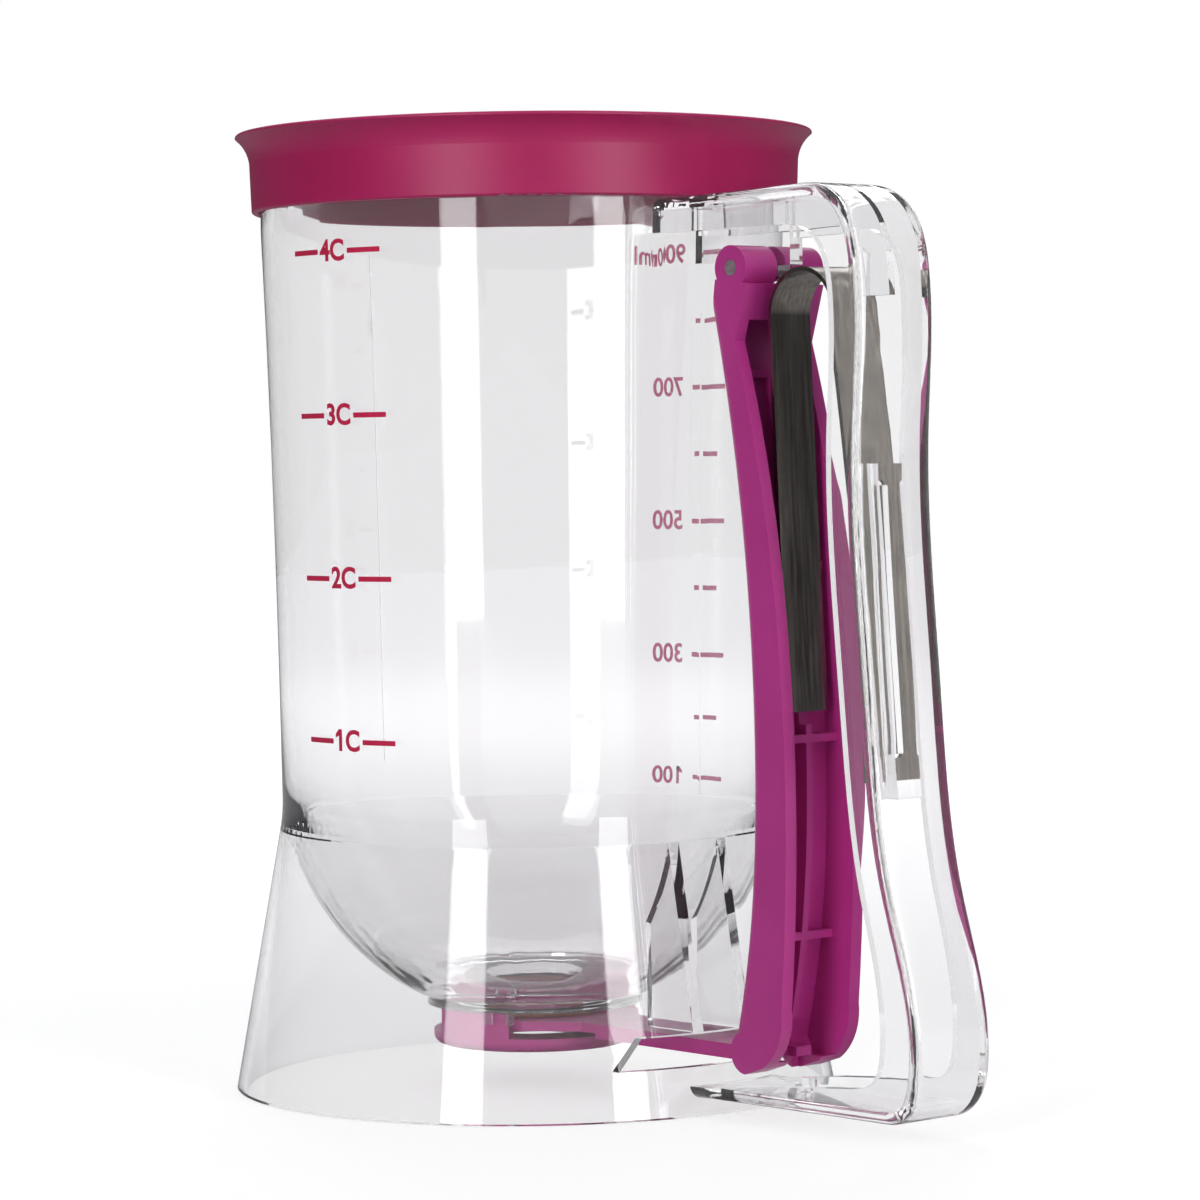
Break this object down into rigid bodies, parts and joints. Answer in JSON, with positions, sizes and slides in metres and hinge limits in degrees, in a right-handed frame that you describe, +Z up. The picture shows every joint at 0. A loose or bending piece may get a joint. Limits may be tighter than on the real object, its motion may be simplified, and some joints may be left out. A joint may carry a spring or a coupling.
{
  "type": "pancake batter dispenser",
  "caption": "Clear hand-held batter dispenser with a funnel, a trigger-worked slide valve in its foot, a D-shaped handle and a lift-off lid.",
  "frame": {"origin": "centre of the foot ring, on the plane that the dispenser stands on", "axes": "+Z up along the cup's axis, +X towards the handle, the part is symmetric about the XZ plane"},
  "size_m": [0.1772, 0.1196, 0.1894],
  "materials": {
    "clear_plastic": "clear polished moulded plastic",
    "berry_plastic": "satin moulded plastic",
    "lid_plastic": "fine matt moulded plastic",
    "spring_steel": "rolled spring strip, brushed across",
    "pin_steel": "cut steel rod",
    "seal_rubber": "soft silicone"
  },
  "bodies": {
    "root": {"measuring_wall": "clear_plastic", "funnel": "clear_plastic", "skirt": "clear_plastic", "handle": "clear_plastic", "hinge_pin": "pin_steel", "return_spring": "spring_steel", "valve_cap": "berry_plastic", "valve_seal": "seal_rubber"},
    "trigger": {"trigger": "berry_plastic"},
    "slide": {"slide_gate": "berry_plastic"},
    "lid": {"lid": "lid_plastic"}
  },
  "joints": [
    {"name": "trigger_squeeze", "type": "hinge", "parent": "root", "child": "trigger", "pos_m": [0.071, 0, 0.1596], "axis": [0, -1, 0], "range_deg": [0, 8.5], "stiffness_Nm_per_rad": 4, "springref_deg": -2.86, "deforming": ["return_spring"]},
    {"name": "gate_slide", "type": "slide", "parent": "root", "child": "slide", "axis": [1, 0, 0], "range_m": [0, 0.0219]},
    {"name": "lid_lift", "type": "slide", "parent": "root", "child": "lid", "axis": [0, 0, 1], "range_m": [0, 0.04]}
  ],
  "couplings": [
    {"joint": "gate_slide", "follows": "trigger_squeeze", "m_per_rad": 0.147}
  ]
}
